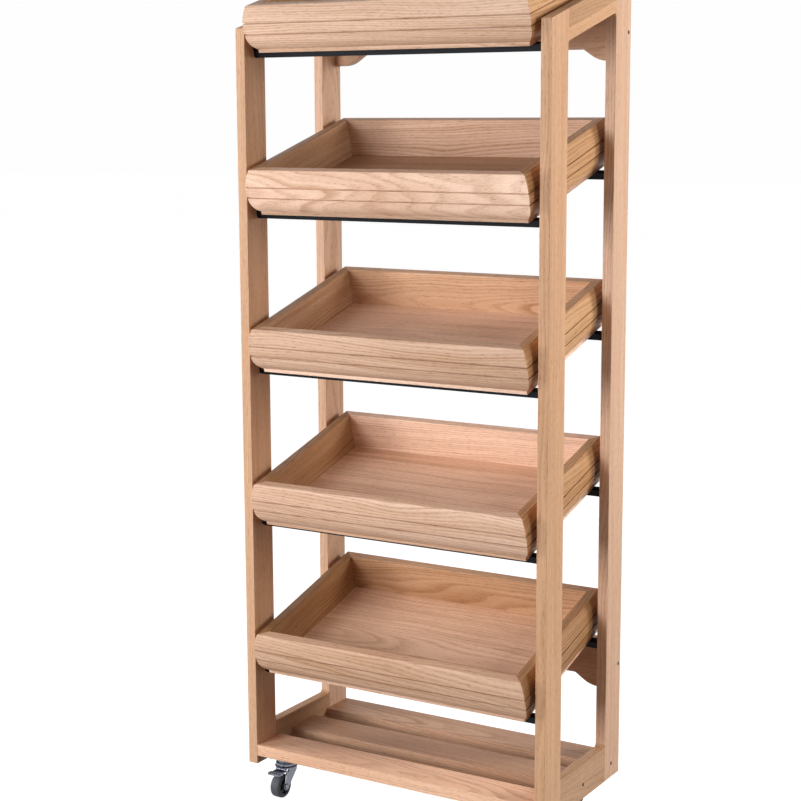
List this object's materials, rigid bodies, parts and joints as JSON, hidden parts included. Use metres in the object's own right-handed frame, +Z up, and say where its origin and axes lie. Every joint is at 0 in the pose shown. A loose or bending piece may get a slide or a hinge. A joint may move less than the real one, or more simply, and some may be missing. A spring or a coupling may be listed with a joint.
{
  "type": "bread rack",
  "caption": "Tall oak bakery rack on braked swivel castors: tilted, grooved display trays rest on black steel angles between two side frames with sloping tops, above a slatted shelf.",
  "frame": {"origin": "on the floor, under the middle of the outer box of the rack", "axes": "+X to the right of someone who faces the rack, +Y from its front to its back, +Z up"},
  "size_m": [0.7, 0.3788, 1.7424],
  "materials": {
    "oak_frame": "oiled oak, satin",
    "oak_slats": "oiled oak, satin",
    "oak_trays": "oiled oak, satin",
    "black_steel": "matt black powder coat",
    "zinc_steel": "bright zinc plate",
    "grey_tread": "matt grey tread",
    "black_screw": "black oxide",
    "beech": "plain beech"
  },
  "bodies": {
    "frame": {"left_front_leg": "oak_frame", "left_rear_leg": "oak_frame", "left_top_rail": "oak_frame", "left_bottom_rail": "oak_frame", "right_front_leg": "oak_frame", "right_rear_leg": "oak_frame", "right_top_rail": "oak_frame", "right_bottom_rail": "oak_frame", "upper_back_rail": "oak_frame", "lower_back_rail": "oak_frame", "front_slat": "oak_slats", "middle_slat": "oak_slats", "rear_slat": "oak_slats", "tray_1_angles": "black_steel", "tray_2_angles": "black_steel", "tray_3_angles": "black_steel", "tray_4_angles": "black_steel", "tray_5_angles": "black_steel", "castor_front_left_plate": "zinc_steel", "castor_front_right_plate": "zinc_steel", "castor_rear_left_plate": "zinc_steel", "castor_rear_right_plate": "zinc_steel", "frame_screws": "black_screw", "pan_head_screws": "zinc_steel", "frame_dowels": "beech"},
    "tray_1": {"tray_1_front": "oak_trays", "tray_1_rear": "oak_trays", "tray_1_left": "oak_trays", "tray_1_right": "oak_trays", "tray_1_floor": "oak_trays"},
    "tray_2": {"tray_2_front": "oak_trays", "tray_2_rear": "oak_trays", "tray_2_left": "oak_trays", "tray_2_right": "oak_trays", "tray_2_floor": "oak_trays"},
    "tray_3": {"tray_3_front": "oak_trays", "tray_3_rear": "oak_trays", "tray_3_left": "oak_trays", "tray_3_right": "oak_trays", "tray_3_floor": "oak_trays"},
    "tray_4": {"tray_4_front": "oak_trays", "tray_4_rear": "oak_trays", "tray_4_left": "oak_trays", "tray_4_right": "oak_trays", "tray_4_floor": "oak_trays"},
    "tray_5": {"tray_5_front": "oak_trays", "tray_5_rear": "oak_trays", "tray_5_left": "oak_trays", "tray_5_right": "oak_trays", "tray_5_floor": "oak_trays"},
    "castor_front_left_fork": {"castor_front_left_fork": "zinc_steel"},
    "castor_front_left_wheel": {"castor_front_left_wheel": "grey_tread"},
    "castor_front_left_pedal": {"castor_front_left_pedal": "zinc_steel"},
    "castor_front_right_fork": {"castor_front_right_fork": "zinc_steel"},
    "castor_front_right_wheel": {"castor_front_right_wheel": "grey_tread"},
    "castor_front_right_pedal": {"castor_front_right_pedal": "zinc_steel"},
    "castor_rear_left_fork": {"castor_rear_left_fork": "zinc_steel"},
    "castor_rear_left_wheel": {"castor_rear_left_wheel": "grey_tread"},
    "castor_rear_right_fork": {"castor_rear_right_fork": "zinc_steel"},
    "castor_rear_right_wheel": {"castor_rear_right_wheel": "grey_tread"}
  },
  "joints": [
    {"name": "tray_1_lift_out", "type": "slide", "parent": "frame", "child": "tray_1", "axis": [0, -0.9848, 0.1736], "range_m": [0, 0.4]},
    {"name": "tray_2_lift_out", "type": "slide", "parent": "frame", "child": "tray_2", "axis": [0, -0.9848, 0.1736], "range_m": [0, 0.4]},
    {"name": "tray_3_lift_out", "type": "slide", "parent": "frame", "child": "tray_3", "axis": [0, -0.9848, 0.1736], "range_m": [0, 0.4]},
    {"name": "tray_4_lift_out", "type": "slide", "parent": "frame", "child": "tray_4", "axis": [0, -0.9848, 0.1736], "range_m": [0, 0.4]},
    {"name": "tray_5_lift_out", "type": "slide", "parent": "frame", "child": "tray_5", "axis": [0, -0.9848, 0.1736], "range_m": [0, 0.4]},
    {"name": "castor_front_left_swivel", "type": "hinge", "parent": "frame", "child": "castor_front_left_fork", "pos_m": [-0.2785, -0.13056, 0.063], "axis": [0, 0, 1], "continuous": true},
    {"name": "castor_front_left_roll", "type": "hinge", "parent": "castor_front_left_fork", "child": "castor_front_left_wheel", "pos_m": [-0.2785, -0.15256, 0.025], "axis": [1, 0, 0], "continuous": true},
    {"name": "castor_front_left_brake", "type": "hinge", "parent": "castor_front_left_fork", "child": "castor_front_left_pedal", "pos_m": [-0.2785, -0.14456, 0.057], "axis": [1, 0, 0], "range_deg": [0, 10]},
    {"name": "castor_front_right_swivel", "type": "hinge", "parent": "frame", "child": "castor_front_right_fork", "pos_m": [0.2785, -0.13056, 0.063], "axis": [0, 0, 1], "continuous": true},
    {"name": "castor_front_right_roll", "type": "hinge", "parent": "castor_front_right_fork", "child": "castor_front_right_wheel", "pos_m": [0.2785, -0.15256, 0.025], "axis": [1, 0, 0], "continuous": true},
    {"name": "castor_front_right_brake", "type": "hinge", "parent": "castor_front_right_fork", "child": "castor_front_right_pedal", "pos_m": [0.2785, -0.14456, 0.057], "axis": [1, 0, 0], "range_deg": [0, 10]},
    {"name": "castor_rear_left_swivel", "type": "hinge", "parent": "frame", "child": "castor_rear_left_fork", "pos_m": [-0.2785, 0.14744, 0.063], "axis": [0, 0, 1], "continuous": true},
    {"name": "castor_rear_left_roll", "type": "hinge", "parent": "castor_rear_left_fork", "child": "castor_rear_left_wheel", "pos_m": [-0.2785, 0.12544, 0.025], "axis": [1, 0, 0], "continuous": true},
    {"name": "castor_rear_right_swivel", "type": "hinge", "parent": "frame", "child": "castor_rear_right_fork", "pos_m": [0.2785, 0.14744, 0.063], "axis": [0, 0, 1], "continuous": true},
    {"name": "castor_rear_right_roll", "type": "hinge", "parent": "castor_rear_right_fork", "child": "castor_rear_right_wheel", "pos_m": [0.2785, 0.12544, 0.025], "axis": [1, 0, 0], "continuous": true}
  ]
}
